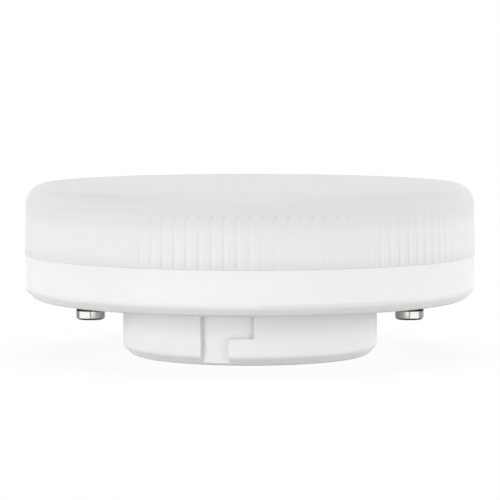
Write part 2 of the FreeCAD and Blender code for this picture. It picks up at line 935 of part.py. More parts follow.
def check(nodes):
    # Stops if a feature failed, or a piece isn't one sound solid, or one for each screw.
    for item in doc.Objects:
        if {"Invalid", "Error"} & set(item.State):
            raise RuntimeError(f"{item.Name} failed: {item.State}")
    for node in nodes:
        expected = SIZES["screw_count"] if node.Label == "board_screws" else 1
        if node.Shape.isNull() or not node.Shape.isValid():
            raise RuntimeError(f"{node.Label} has no sound shape")
        if len(node.Shape.Solids) != expected:
            raise RuntimeError(f"{node.Label} has {len(node.Shape.Solids)} solids")


nodes = build()
check(nodes)
os.makedirs("parts", exist_ok=True)
for node in nodes:
    node.Shape.exportStep(f"parts/{node.Label}.step")
    print(node.Label, len(node.Shape.Solids), round(node.Shape.Volume, 3))
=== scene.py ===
import math

import bmesh
import bpy
from mathutils import Matrix, Vector


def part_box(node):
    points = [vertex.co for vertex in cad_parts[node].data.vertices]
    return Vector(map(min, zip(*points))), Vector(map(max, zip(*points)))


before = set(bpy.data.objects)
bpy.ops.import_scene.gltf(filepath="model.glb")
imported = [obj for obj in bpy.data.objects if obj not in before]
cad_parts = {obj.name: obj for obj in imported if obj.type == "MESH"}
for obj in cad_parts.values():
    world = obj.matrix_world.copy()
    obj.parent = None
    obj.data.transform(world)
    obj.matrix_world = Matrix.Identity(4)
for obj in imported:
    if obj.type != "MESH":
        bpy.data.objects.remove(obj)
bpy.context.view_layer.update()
mm = 0.001  # lengths are in metres, and the sizes that only a pattern uses are plain millimetres
fullTurn = 2 * math.pi
levelSpan = (0.4, 0.6)  # upward shares between which a face turns from a side into a top

# Long lens, a little above the lamp
camera = {
    "distance": 448.7 * mm,  # from the middle of the lamp
    "elevation": 4.54,  # degrees above the horizon
    "middle": 13.9 * mm,  # height of the lamp's middle
    "aim": 17.12 * mm,  # height on the lamp's axis that the lens points at
    "focalPixels": 2699,
    "pictureWidth": 500,
    "sensor": 36.0,
    "nearest": 0.01,  # what lies nearer or farther is cut off
    "farthest": 20,
}

# Pale floor, broad low lamps all round, and one overhead
studio = {
    "floorSize": 1.2,
    "floorGap": 0.01 * mm,  # keeps the hub's face from sharing the floor's plane
    "floorColor": (0.52, 0.52, 0.52),  # what lights the lamp from below
    "shadowShare": 0.12,  # how much of the lamp's shadow the floor shows
    "floorLevel": 0.85,  # the light on the bare floor
    "ambient": 0.13,  # the world's light on the lamp
    "lamps": {  # azimuths in degrees, from the camera's side towards the right
        "keyLamp": {"azimuth": -50, "reach": 1.5, "height": 0.27, "width": 1.1, "tall": 0.5, "power": 9.6},
        "fillLamp": {"azimuth": 52, "reach": 1.5, "height": 0.27, "width": 1.1, "tall": 0.5, "power": 7.9},
        "lowLamp": {"azimuth": -24, "reach": 1.5, "height": 0.1, "width": 1.2, "tall": 0.18, "power": 4.2},
        "lowRight": {"azimuth": 30, "reach": 1.5, "height": 0.1, "width": 1.2, "tall": 0.18, "power": 2.0},
        "leftLamp": {"azimuth": -100, "reach": 1.5, "height": 0.35, "width": 1.0, "tall": 0.6, "power": 5.0},
        "rightLamp": {"azimuth": 100, "reach": 1.5, "height": 0.35, "width": 1.0, "tall": 0.6, "power": 7.9},
        "backLeft": {"azimuth": -148, "reach": 1.5, "height": 0.5, "width": 0.8, "tall": 0.6, "power": 3.5},
        "backRight": {"azimuth": 148, "reach": 1.5, "height": 0.5, "width": 0.8, "tall": 0.6, "power": 3.5},
        "topLamp": {"azimuth": 180, "reach": 0.1, "height": 1.5, "width": 1.2, "tall": 1.2, "power": 10.4},
    },
    # Low cards on the floor that only gloss can see, for the bright and dark bands on the pins
    "cards": {  # both ends as azimuths in degrees, and how bright the card is
        "brightCard": {"first": -94, "last": 81.5, "level": 1.8},
        "leftCard": {"first": -150, "last": -94, "level": 0.5},
        "rightCard": {"first": 81.5, "last": 150, "level": 0.68},
    },
    "cardReach": 66 * mm,
    "cardHeight": 4 * mm,
    "cardSteps": 48,
    # A dimmer card before each pin, for the lens that it mirrors
    "lensCard": {"width": 15 * mm, "reach": 58 * mm, "level": 0.75},
}


def makeCamera():
    data = bpy.data.cameras.new("photoCamera")
    data.sensor_width = camera["sensor"]
    data.lens = camera["focalPixels"] / camera["pictureWidth"] * camera["sensor"]
    data.clip_start = camera["nearest"]
    data.clip_end = camera["farthest"]
    obj = bpy.data.objects.new("photoCamera", data)
    tilt = math.radians(camera["elevation"])
    reach = camera["distance"]
    obj.location = (0, -reach * math.cos(tilt), camera["middle"] + reach * math.sin(tilt))
    aimAt(obj, camera["aim"])
    bpy.context.scene.collection.objects.link(obj)
    bpy.context.scene.camera = obj


def aimAt(obj, height):
    way = Vector((0, 0, height)) - obj.location
    obj.rotation_mode = "QUATERNION"
    obj.rotation_quaternion = way.to_track_quat("-Z", "Y")


def feed(tree, value, socket):
    # A number or colour is set on the socket, and another node's output is linked to it.
    if isinstance(value, bpy.types.NodeSocket):
        tree.links.new(value, socket)
    elif socket.type == "RGBA" and len(value) == 3:
        socket.default_value = (*value, 1)
    else:
        socket.default_value = value


def addNode(tree, kind, inputs=None, **settings):
    node = tree.nodes.new(kind)
    for name, value in settings.items():
        setattr(node, name, value)
    for key, value in (inputs or {}).items():
        feed(tree, value, node.inputs[key])
    return node


def calc(tree, operation, *values):
    return addNode(tree, "ShaderNodeMath", dict(enumerate(values)), operation=operation).outputs[0]


def product(tree, *values):
    result = values[0]
    for value in values[1:]:
        result = calc(tree, "MULTIPLY", result, value)
    return result


def blendColors(tree, share, low, high):
    inputs = {0: share, 6: low, 7: high}
    return addNode(tree, "ShaderNodeMix", inputs, data_type="RGBA").outputs[2]


def remap(tree, value, low, high, toLow=0.0, toHigh=1.0):
    inputs = {"Value": value, "From Min": low, "From Max": high, "To Min": toLow, "To Max": toHigh}
    return addNode(tree, "ShaderNodeMapRange", inputs, interpolation_type="SMOOTHSTEP").outputs["Result"]


def above(tree, value, limit, soft):
    return remap(tree, value, limit - soft, limit + soft)


def below(tree, value, limit, soft):
    return remap(tree, value, limit - soft, limit + soft, 1.0, 0.0)


def between(tree, value, low, high, soft):
    return calc(tree, "MULTIPLY", above(tree, value, low, soft), below(tree, value, high, soft))


def useGroup(tree, name, point, values):
    group = addNode(tree, "ShaderNodeGroup", node_tree=bpy.data.node_groups[name])
    for label, value in {"Point": point, **values}.items():
        feed(tree, value, group.inputs[label])
    return group.outputs


def newGroup(name, inputs, outputs):
    group = bpy.data.node_groups.new(name, "ShaderNodeTree")
    for label, value in inputs.items():
        kind = "NodeSocketVector" if isinstance(value, tuple) else "NodeSocketFloat"
        group.interface.new_socket(label, in_out="INPUT", socket_type=kind).default_value = value
    for label in outputs:
        group.interface.new_socket(label, in_out="OUTPUT", socket_type="NodeSocketFloat")
    start = addNode(group, "NodeGroupInput").outputs
    end = addNode(group, "NodeGroupOutput").inputs
    return group, start, end


def makeWorld():
    world = bpy.data.worlds.new("paleStudio")
    bpy.context.scene.world = world
    world.use_nodes = True
    tree = world.node_tree
    background = tree.nodes["Background"]
    feed(tree, (1, 1, 1), background.inputs["Color"])
    level = remap(tree, seenDirectly(tree, "Is Transmission Ray"), 0, 1, studio["ambient"], 1.0)
    feed(tree, level, background.inputs["Strength"])


def seenDirectly(tree, *others):
    # One for rays from the camera or from gloss, and for the others that are named.
    path = addNode(tree, "ShaderNodeLightPath").outputs
    seen = path["Is Camera Ray"]
    for name in ("Is Glossy Ray", *others):
        seen = calc(tree, "MAXIMUM", seen, path[name])
    return seen


def makeFloor():
    bm = bmesh.new()
    bmesh.ops.create_grid(bm, x_segments=1, y_segments=1, size=studio["floorSize"] / 2)
    bmesh.ops.translate(bm, vec=(0, 0, -studio["floorGap"]), verts=bm.verts)
    floor, tree = standOnStage("studioFloor", bm)
    share = studio["shadowShare"]
    real = addNode(tree, "ShaderNodeBsdfDiffuse", {"Color": studio["floorColor"]}).outputs[0]
    faint = addNode(tree, "ShaderNodeBsdfDiffuse", {"Color": (share, share, share)}).outputs[0]
    white = addNode(tree, "ShaderNodeEmission", {"Strength": 1 - share * studio["floorLevel"]}).outputs[0]
    shown = addNode(tree, "ShaderNodeAddShader", {0: faint, 1: white}).outputs[0]
    mix = addNode(tree, "ShaderNodeMixShader", {0: seenDirectly(tree), 1: real, 2: shown}).outputs[0]
    addNode(tree, "ShaderNodeOutputMaterial", {"Surface": mix})


def standOnStage(name, bm):
    # A stage piece from its mesh, with an empty material of its own.
    mesh = bpy.data.meshes.new(name)
    bm.to_mesh(mesh)
    bm.free()
    material = bpy.data.materials.new(name)
    material.use_nodes = True
    material.node_tree.nodes.clear()
    mesh.materials.append(material)
    obj = bpy.data.objects.new(name, mesh)
    bpy.context.scene.collection.objects.link(obj)
    return obj, material.node_tree


def makeLamps():
    for name, lamp in studio["lamps"].items():
        data = bpy.data.lights.new(name, "AREA")
        data.shape = "RECTANGLE"
        data.size = lamp["width"]
        data.size_y = lamp["tall"]
        data.energy = lamp["power"]
        obj = bpy.data.objects.new(name, data)
        turn = math.radians(lamp["azimuth"])
        reach = lamp["reach"]
        obj.location = (reach * math.sin(turn), -reach * math.cos(turn), lamp["height"])
        aimAt(obj, camera["middle"])
        obj.visible_glossy = name == "topLamp"  # the other lamps' gloss would burn out the cover's edge
        bpy.context.scene.collection.objects.link(obj)


def makeCards():
    for name, card in studio["cards"].items():
        bm = bmesh.new()
        foot = bm.verts.new((0, -studio["cardReach"], 0))
        head = bm.verts.new((0, -studio["cardReach"], studio["cardHeight"]))
        edge = bm.edges.new((foot, head))
        first = Matrix.Rotation(math.radians(card["first"]), 3, "Z")
        bmesh.ops.rotate(bm, matrix=first, verts=bm.verts)
        sweep = math.radians(card["last"] - card["first"])
        strip = [foot, head, edge]
        bmesh.ops.spin(bm, geom=strip, axis=(0, 0, 1), angle=sweep, steps=studio["cardSteps"])
        standCard(name, bm, card["level"])
    lens = studio["lensCard"]
    for pin in ("contact_pin_left", "contact_pin_right"):
        bm = bmesh.new()
        bmesh.ops.create_grid(bm, x_segments=1, y_segments=1, size=0.5)  # one by one, then scaled
        bmesh.ops.scale(bm, vec=(lens["width"], studio["cardHeight"], 1), verts=bm.verts)
        bmesh.ops.rotate(bm, matrix=Matrix.Rotation(fullTurn / 4, 3, "X"), verts=bm.verts)
        place = (middleOf(pin).x, -lens["reach"], studio["cardHeight"] / 2)
        bmesh.ops.translate(bm, vec=place, verts=bm.verts)
        standCard(f"lensCard_{pin}", bm, lens["level"])


def standCard(name, bm, level):
    card, tree = standOnStage(name, bm)
    glow = addNode(tree, "ShaderNodeEmission", {"Strength": level}).outputs[0]
    addNode(tree, "ShaderNodeOutputMaterial", {"Surface": glow})
    card.visible_camera = False
    card.visible_diffuse = False
    card.visible_shadow = False
    card.visible_transmission = False


def newMaterial(name):
    material = bpy.data.materials.new(name)
    material.use_nodes = True
    tree = material.node_tree
    return material, tree, tree.nodes["Principled BSDF"].inputs


def dress(material, *nodeNames):
    for name in nodeNames:
        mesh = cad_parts[name].data
        mesh.materials.clear()
        mesh.materials.append(material)


def objectPoint(tree, centre=(0, 0, 0)):
    # Object coordinates, moved so that a pattern is centred on a piece.
    point = addNode(tree, "ShaderNodeTexCoord").outputs["Object"]
    away = tuple(-value for value in centre)
    return addNode(tree, "ShaderNodeMapping", {"Vector": point, "Location": away}).outputs[0]


def axesOf(tree, point):
    return addNode(tree, "ShaderNodeSeparateXYZ", {0: point}).outputs


def lengthOf(tree, first, second):
    square = calc(tree, "MULTIPLY_ADD", second, second, calc(tree, "MULTIPLY", first, first))
    return calc(tree, "SQRT", square)


def fromAxis(tree, point):
    # Distance from the upright axis, in millimetres.
    axes = axesOf(tree, point)
    return calc(tree, "MULTIPLY", lengthOf(tree, axes["X"], axes["Y"]), 1 / mm)


def upNormal(tree):
    # The upward share of the face's own normal.
    normal = addNode(tree, "ShaderNodeNewGeometry").outputs["True Normal"]
    return axesOf(tree, normal)["Z"]


def facingUp(tree, span=levelSpan):
    # One on faces that look up, and nothing on the others.
    return remap(tree, upNormal(tree), *span)


def roughen(tree, shader, value, span):
    # The roughness goes through its span as the value goes from 0 to 1.
    feed(tree, remap(tree, value, 0.0, 1.0, *span), shader["Roughness"])


def addBump(tree, shader, height, depth):
    bump = addNode(tree, "ShaderNodeBump", {"Height": height, "Distance": depth})
    feed(tree, bump.outputs["Normal"], shader["Normal"])


def middleOf(nodeName):
    low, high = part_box(nodeName)
    return (low + high) / 2


def perMillimetre(tree, size):
    # A noise's scale from the size of its grains, in millimetres.
    return calc(tree, "DIVIDE", 1 / mm, size)


# Surface effects that several finishes share
effects = {
    "noiseSpan": (0.25, 0.75),  # nearly all of a noise's values lie between these
    "grainDetail": 3.0,
    "driftDetail": 1.0,
    "lineDetail": 4.0,
    "lineRoughness": 0.6,
    "markSpan": (0.62, 0.72),  # only the highest lines leave a mark
    "swayScale": 900.0,
    "swayDetail": 1.0,
}


def makeGrainGroup():
    # Fine relief of a moulded or cast surface, and a slow drift across it.
    inputs = {"Point": (0, 0, 0), "Grain Size": 0.3, "Drift Size": 15.0}
    group, start, end = newGroup("surfaceGrain", inputs, ["Height", "Drift"])
    parts = {"Height": ("Grain Size", "grainDetail"), "Drift": ("Drift Size", "driftDetail")}
    for label, (size, detail) in parts.items():
        scale = perMillimetre(group, start[size])
        noise = {"Vector": start["Point"], "Scale": scale, "Detail": effects[detail]}
        value = addNode(group, "ShaderNodeTexNoise", noise).outputs["Fac"]
        feed(group, remap(group, value, *effects["noiseSpan"]), end[label])


def makeLineGroup():
    # Fine parallel lines, as rolling, drawing and tumbling leave them on metal.
    inputs = {"Point": (0, 0, 0), "Stretch": (1.0, 1.0, 1.0), "Line Size": 0.1}
    group, start, end = newGroup("drawnLines", inputs, ["Height", "Marks"])
    squeeze = {0: start["Point"], 1: start["Stretch"]}
    point = addNode(group, "ShaderNodeVectorMath", squeeze, operation="DIVIDE").outputs[0]
    noise = {
        "Vector": point,
        "Scale": perMillimetre(group, start["Line Size"]),
        "Detail": effects["lineDetail"],
        "Roughness": effects["lineRoughness"],
    }
    value = addNode(group, "ShaderNodeTexNoise", noise).outputs["Fac"]
    feed(group, value, end["Height"])
    feed(group, remap(group, value, *effects["markSpan"]), end["Marks"])


def makeTurnGroup():
    # Rings across the upright axis with a slight unevenness, as on turned pins and wound wire.
    inputs = {"Point": (0, 0, 0), "Pitch": 0.1, "Waver": 0.2}
    group, start, end = newGroup("evenRings", inputs, ["Height"])
    noise = {"Vector": start["Point"], "Scale": effects["swayScale"], "Detail": effects["swayDetail"]}
    sway = addNode(group, "ShaderNodeTexNoise", noise).outputs["Fac"]
    height = calc(group, "MULTIPLY", axesOf(group, start["Point"])["Z"], 1 / mm)
    rings = calc(group, "DIVIDE", height, start["Pitch"])
    rings = calc(group, "MULTIPLY_ADD", sway, start["Waver"], rings)
    wave = calc(group, "SINE", calc(group, "MULTIPLY", rings, fullTurn))
    feed(group, calc(group, "MULTIPLY_ADD", wave, 0.5, 0.5), end["Height"])


def makeSeatGroup():
    # Folds the pieces that stand in a circle onto one, with distances in millimetres from its middle.
    inputs = {"Point": (0, 0, 0), "Circle": 20.0, "Count": 12.0, "First": 0.0}
    group, start, end = newGroup("ringSeat", inputs, ["Outwards", "Along"])
    axes = axesOf(group, start["Point"])
    far = fromAxis(group, start["Point"])
    turn = calc(group, "ARCTAN2", axes["Y"], axes["X"])
    step = calc(group, "DIVIDE", fullTurn, start["Count"])
    half = calc(group, "MULTIPLY", step, 0.5)
    first = calc(group, "MULTIPLY", start["First"], fullTurn / 360)
    local = calc(group, "ADD", calc(group, "SUBTRACT", turn, first), half)
    local = calc(group, "SUBTRACT", calc(group, "FLOORED_MODULO", local, step), half)
    outwards = calc(group, "MULTIPLY", far, calc(group, "COSINE", local))
    feed(group, calc(group, "SUBTRACT", outwards, start["Circle"]), end["Outwards"])
    feed(group, calc(group, "MULTIPLY", far, calc(group, "SINE", local)), end["Along"])


milkyCover = {
    "color": (0.88, 0.885, 0.88),
    "roughness": 0.42,
    "gloss": 0.3,
    "grain": {"Grain Size": 0.35},
    "grainDepth": 0.01 * mm,
    # Height in millimetres, and how light the cover is painted there: painted shade, darkest on the thick
    # rounded corner and lightest in the middle of the wall
    "paintedShades": [
        (16.8, 0.885), (18.8, 0.945), (21.5, 0.945), (24.2, 0.88), (25.9, 0.825), (26.8, 0.795),
        (27.24, 0.788), (27.55, 0.79), (27.8, 0.825), (28.06, 0.882), (28.2, 0.905), (28.3, 0.893),
    ],
    "fluteCount": 120,
    "fluteTop": 24.9 * mm,
    "fluteSoft": 0.1 * mm,
    "fluteFade": 0.3,  # what is left of the lines at the flutes' top
    # painted shade and painted light of the flutes inside the wall, drawn as lines on the outside
    "paintedLineShade": 0.065,
    "paintedLineLight": 0.04,
    "lineOffset": 0.9,  # radians of one flute, from its middle to its painted dark side and its painted bright side
    "lineEdge": 0.55,  # the lower, the wider the lines
    "clearest": -43.0,  # degrees round the axis, where the painted flute lines are strongest, on the side the light falls from
    "clearSpots": 6.0,
    "clearWave": (-0.6, 0.9),
    "clearLeast": 0.2,
    "clearBehind": 0.3,  # on the side away from the clearest
    # painted shade of the dots where the flutes end
    "paintedDotShade": 0.06,
    "dotHeight": 0.6 * mm,
    "dotSoft": 0.2 * mm,
    "dotEdge": 0.2,  # the lower, the wider the dots
    "dotsClearest": -88.0,
    "dotSpots": 3.0,
    "dotsFull": 0.8,
}


def makeMilkyCover():
    look = milkyCover
    material, tree, shader = newMaterial("milkyCover")
    point = objectPoint(tree)
    axes = axesOf(tree, point)
    height = axes["Z"]
    turn = calc(tree, "ARCTAN2", axes["Y"], axes["X"])
    flute = calc(tree, "MULTIPLY", turn, look["fluteCount"])
    foot, top = look["paintedShades"][0][0] * mm, look["fluteTop"]
    # Painted shade and light of the inner flutes: the lines fade upwards, and are stronger in some places
    # round the axis
    shown = remap(tree, height, foot, top, 1.0, look["fluteFade"])
    shown = calc(tree, "MULTIPLY", shown, between(tree, height, foot, top, look["fluteSoft"]))
    clear = turnWave(tree, turn, look["clearest"], look["clearSpots"])
    clear = remap(tree, clear, *look["clearWave"], look["clearLeast"], 1.0)
    nearSide = turnWave(tree, turn, look["clearest"], 1.0)
    nearSide = remap(tree, nearSide, -1.0, 1.0, look["clearBehind"], 1.0)
    shown = product(tree, shown, clear, nearSide)
    dark = calc(tree, "COSINE", calc(tree, "ADD", flute, look["lineOffset"]))
    dark = product(tree, remap(tree, dark, look["lineEdge"], 1.0), shown)
    light = calc(tree, "COSINE", calc(tree, "SUBTRACT", flute, look["lineOffset"]))
    light = product(tree, remap(tree, light, look["lineEdge"], 1.0), shown)
    # A row of fine dots of painted shade where the flutes end
    dots = remap(tree, calc(tree, "COSINE", flute), look["dotEdge"], 1.0)
    spots = turnWave(tree, turn, look["dotsClearest"], look["dotSpots"])
    spots = remap(tree, spots, 0.0, look["dotsFull"])
    dots = product(tree, dots, between(tree, height, top - look["dotHeight"], top, look["dotSoft"]), spots)
    # Painted shade and light by height, then the flutes' painted lines and dots
    shade = layeredShade(tree, height, look["paintedShades"])
    for part, change in ((dark, -look["paintedLineShade"]), (light, look["paintedLineLight"]), (dots, -look["paintedDotShade"])):
        shade = calc(tree, "MULTIPLY_ADD", part, change, shade)
    feed(tree, blendColors(tree, shade, (0, 0, 0), look["color"]), shader["Base Color"])
    feed(tree, look["roughness"], shader["Roughness"])
    feed(tree, look["gloss"], shader["Specular IOR Level"])
    addBump(tree, shader, useGroup(tree, "surfaceGrain", point, look["grain"])["Height"], look["grainDepth"])
    dress(material, "diffuser_cover")


def turnWave(tree, turn, middle, count):
    # A wave round the axis with that many crests, one of them at the angle given in degrees.
    away = calc(tree, "SUBTRACT", turn, math.radians(middle))
    return calc(tree, "COSINE", calc(tree, "MULTIPLY", away, count))


def layeredShade(tree, height, layers):
    # One value that changes smoothly from layer to layer up the piece.
    value = layers[0][1]
    for (low, before), (high, after) in zip(layers, layers[1:]):
        if after != before:
            part = remap(tree, height, low * mm, high * mm, 0.0, after - before)
            value = calc(tree, "ADD", value, part)
    return value


whiteHousing = {
    "color": (0.905, 0.905, 0.90),
    "driftColor": (0.885, 0.885, 0.875),
    "roughness": 0.38,
    "grain": {"Grain Size": 0.3, "Drift Size": 18.0},
    "grainDepth": 0.015 * mm,
    "creaseShade": (0.76, 0.76, 0.75),  # painted shade in the inner corners, from an occlusion node
    "creaseReach": 1.1 * mm,
    "creaseSpan": (0.45, 0.95),  # how open the surface is in a full crease, and past its end
    "creaseSamples": 8,
}


def makeWhiteHousing():
    look = whiteHousing
    material, tree, shader = newMaterial("whiteHousing")
    grain = useGroup(tree, "surfaceGrain", objectPoint(tree), look["grain"])
    color = blendColors(tree, grain["Drift"], look["color"], look["driftColor"])
    # Painted shade: an occlusion node darkens the colour in the inner corners and creases
    corner = addNode(
        tree, "ShaderNodeAmbientOcclusion", {"Distance": look["creaseReach"]},
        only_local=True, samples=look["creaseSamples"],
    )
    crease = remap(tree, corner.outputs["AO"], *look["creaseSpan"], 1.0, 0.0)
    feed(tree, blendColors(tree, crease, color, look["creaseShade"]), shader["Base Color"])
    feed(tree, look["roughness"], shader["Roughness"])
    addBump(tree, shader, grain["Height"], look["grainDepth"])
    dress(material, "housing")


nickelPin = {
    "color": (0.52, 0.51, 0.49),
    "edgeShade": (0.035, 0.033, 0.03),  # painted shade and dark reflection on the slanted edges of the head
    "headHeight": 2.0 * mm,
    "footEdge": 0.3 * mm,
    "topEdge": 0.58 * mm,
    "edgeSoft": 0.0375 * mm,
    "roughness": (0.0585, 0.07475),
    "grain": {"Drift Size": 1.5},
    "rings": {"Pitch": 0.13, "Waver": 0.3},
    "ringDepth": 0.00002 * mm,
}


def makeNickelPin():
    look = nickelPin
    material, tree, shader = newMaterial("nickelPin")
    point = objectPoint(tree)
    height = axesOf(tree, point)["Z"]
    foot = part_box("contact_pin_left")[0].z
    top = foot + look["headHeight"]
    # Painted shade and dark reflection: all below the foot edge, the flat foot face too, and a band just
    # under the top
    low = below(tree, height, foot + look["footEdge"], look["edgeSoft"])
    high = between(tree, height, top - look["topEdge"], top, look["edgeSoft"])
    edge = calc(tree, "MAXIMUM", low, high)
    feed(tree, blendColors(tree, edge, look["color"], look["edgeShade"]), shader["Base Color"])
    feed(tree, 1.0, shader["Metallic"])
    roughen(tree, shader, useGroup(tree, "surfaceGrain", point, look["grain"])["Drift"], look["roughness"])
    addBump(tree, shader, useGroup(tree, "evenRings", point, look["rings"])["Height"], look["ringDepth"])
    dress(material, "contact_pin_left", "contact_pin_right")


spreaderAluminium = {
    "color": (0.78, 0.78, 0.79),
    "markColor": (0.62, 0.62, 0.64),
    "roughness": (0.272, 0.425),
    "grain": {"Drift Size": 9.0},
    "lines": {"Line Size": 0.12, "Stretch": (30.0, 1.0, 1.0)},  # rolled along X
    "lineDepth": 0.004 * mm,
}


def makeSpreader():
    look = spreaderAluminium
    material, tree, shader = newMaterial("spreaderAluminium")
    point = objectPoint(tree)
    lines = useGroup(tree, "drawnLines", point, look["lines"])
    feed(tree, blendColors(tree, lines["Marks"], look["color"], look["markColor"]), shader["Base Color"])
    feed(tree, 1.0, shader["Metallic"])
    roughen(tree, shader, useGroup(tree, "surfaceGrain", point, look["grain"])["Drift"], look["roughness"])
    addBump(tree, shader, lines["Height"], look["lineDepth"])
    dress(material, "heat_spreader")


# The light packages stand in two circles: radius, number, and the first one's angle in degrees
ledRings = [
    {"Circle": 24.5, "Count": 12.0, "First": 15.0},
    {"Circle": 9.0, "Count": 4.0, "First": 45.0},
]

lightBoard = {
    "maskColor": (0.88, 0.88, 0.86),
    "copperUnder": (0.80, 0.79, 0.75),  # tracks show a little through the white mask
    "tin": (0.72, 0.72, 0.70),
    "core": (0.70, 0.70, 0.71),
    "trackHalf": 1.7,
    "trackSoft": 0.04,
    "trackFaintest": 0.6,
    "padFrom": 1.45,
    "padTo": 2.15,
    "padHalf": 1.15,
    "padSoft": 0.03,
    "trackDepth": 0.035 * mm,
    "grain": {"Grain Size": 0.2, "Drift Size": 12.0},
    "grainShare": 0.15,  # of the tracks' relief
    "roughness": (0.2805, 0.396),
}


def makeLightBoard():
    look = lightBoard
    material, tree, shader = newMaterial("lightBoard")
    point = objectPoint(tree)
    far = fromAxis(tree, point)
    track, pads = 0.0, 0.0
    for ring in ledRings:
        inner, outer = ring["Circle"] - look["trackHalf"], ring["Circle"] + look["trackHalf"]
        track = calc(tree, "MAXIMUM", track, between(tree, far, inner, outer, look["trackSoft"]))
        seat = useGroup(tree, "ringSeat", point, ring)
        along = calc(tree, "ABSOLUTE", seat["Along"])
        across = calc(tree, "ABSOLUTE", seat["Outwards"])
        pad = between(tree, along, look["padFrom"], look["padTo"], look["padSoft"])
        pad = calc(tree, "MULTIPLY", pad, below(tree, across, look["padHalf"], look["padSoft"]))
        pads = calc(tree, "MAXIMUM", pads, pad)
    up = facingUp(tree)
    grain = useGroup(tree, "surfaceGrain", point, look["grain"])
    faint = remap(tree, grain["Drift"], 0.0, 1.0, look["trackFaintest"], 1.0)
    track = calc(tree, "MULTIPLY", track, faint)
    color = blendColors(tree, track, look["maskColor"], look["copperUnder"])
    color = blendColors(tree, pads, color, look["tin"])
    feed(tree, blendColors(tree, up, look["core"], color), shader["Base Color"])
    masked = calc(tree, "MULTIPLY", up, calc(tree, "SUBTRACT", 1.0, pads))
    feed(tree, calc(tree, "SUBTRACT", 1.0, masked), shader["Metallic"])
    roughen(tree, shader, grain["Drift"], look["roughness"])
    copper = calc(tree, "MAXIMUM", track, pads)
    relief = calc(tree, "MULTIPLY_ADD", grain["Height"], look["grainShare"], copper)
    addBump(tree, shader, relief, look["trackDepth"])
    dress(material, "led_board")


ledPackage = {
    "frameColor": (0.90, 0.90, 0.88),
    "phosphor": (0.93, 0.74, 0.20),
    "phosphorPale": (0.95, 0.82, 0.36),
    "tin": (0.74, 0.74, 0.72),
    "wellUp": (0.6, 0.8),  # upward shares between which the well's wall turns into its floor
    "wellFade": (0.07 * mm, 0.04 * mm),  # below the top, where the phosphor is full and where it is gone
    "ringReach": (2.0, 2.2),  # from a circle, within which the packages are its own
    "terminal": 1.55,  # millimetres from the middle to the end terminals
    "terminalSoft": 0.05,
    "terminalHeight": 0.25 * mm,
    "terminalFade": 0.025 * mm,
    "roughness": (0.3, 0.6),  # of the frame, and of the phosphor
    "grain": {"Grain Size": 0.09},
    "grainDepth": 0.01 * mm,
}


def makeLedPackages():
    look = ledPackage
    material, tree, shader = newMaterial("ledPackage")
    point = objectPoint(tree)
    height = axesOf(tree, point)["Z"]
    foot, top = (corner.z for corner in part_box("led_01"))
    full, gone = (top - depth for depth in look["wellFade"])
    well = facingUp(tree, look["wellUp"])
    well = calc(tree, "MULTIPLY", well, remap(tree, height, full, gone, 1.0, 0.0))
    grain = useGroup(tree, "surfaceGrain", point, look["grain"])
    phosphor = blendColors(tree, grain["Height"], look["phosphor"], look["phosphorPale"])
    terminals = 0.0
    for ring in ledRings:
        seat = useGroup(tree, "ringSeat", point, ring)
        along = calc(tree, "ABSOLUTE", seat["Along"])
        near = remap(tree, calc(tree, "ABSOLUTE", seat["Outwards"]), *look["ringReach"], 1.0, 0.0)
        ends = remap(tree, along, look["terminal"], look["terminal"] + look["terminalSoft"])
        terminals = calc(tree, "MAXIMUM", terminals, calc(tree, "MULTIPLY", near, ends))
    rise = foot + look["terminalHeight"]
    low = remap(tree, height, rise - look["terminalFade"], rise, 1.0, 0.0)
    terminals = calc(tree, "MULTIPLY", terminals, low)
    color = blendColors(tree, well, look["frameColor"], phosphor)
    feed(tree, blendColors(tree, terminals, color, look["tin"]), shader["Base Color"])
    feed(tree, terminals, shader["Metallic"])
    roughen(tree, shader, well, look["roughness"])
    addBump(tree, shader, grain["Height"], look["grainDepth"])
    dress(material, *(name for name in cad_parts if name.startswith("led_") and name != "led_board"))


boardScrew = {
    "color": (0.66, 0.67, 0.66),
    "passivation": (0.72, 0.70, 0.60),  # faint yellow of the zinc's finish
    "seat": {"Circle": 24.5, "Count": 3.0, "First": 90.0},
    "pitch": 0.9 * mm,
    "threadDepth": 0.18 * mm,
    "threadFade": (0.5 * mm, 0.1 * mm),  # below the head, where the thread is full and where it is gone
    "headHeight": 1.5 * mm,
    "grain": {"Drift Size": 1.2},
    "lines": {"Line Size": 0.07, "Stretch": (1.0, 1.0, 6.0)},
    "lineShare": 0.06,  # of the thread's relief
    "lineSpan": (0.3, 0.7),
    "roughness": (0.22, 0.42),
}


def makeBoardScrews():
    look = boardScrew
    material, tree, shader = newMaterial("screwSteel")
    point = objectPoint(tree)
    height = axesOf(tree, point)["Z"]
    seat = useGroup(tree, "ringSeat", point, look["seat"])
    turn = calc(tree, "ARCTAN2", seat["Along"], seat["Outwards"])
    climb = calc(tree, "MULTIPLY", height, fullTurn / look["pitch"])
    thread = calc(tree, "SINE", calc(tree, "ADD", climb, turn))
    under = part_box("board_screws")[1].z - look["headHeight"]
    full, gone = (under - depth for depth in look["threadFade"])
    thread = calc(tree, "MULTIPLY", thread, remap(tree, height, full, gone, 1.0, 0.0))
    lines = useGroup(tree, "drawnLines", point, look["lines"])
    grain = useGroup(tree, "surfaceGrain", point, look["grain"])
    feed(tree, blendColors(tree, grain["Drift"], look["color"], look["passivation"]), shader["Base Color"])
    feed(tree, 1.0, shader["Metallic"])
    feed(tree, remap(tree, lines["Height"], *look["lineSpan"], *look["roughness"]), shader["Roughness"])
    relief = calc(tree, "MULTIPLY_ADD", lines["Height"], look["lineShare"], thread)
    addBump(tree, shader, relief, look["threadDepth"] / 2)
    dress(material, "board_screws")


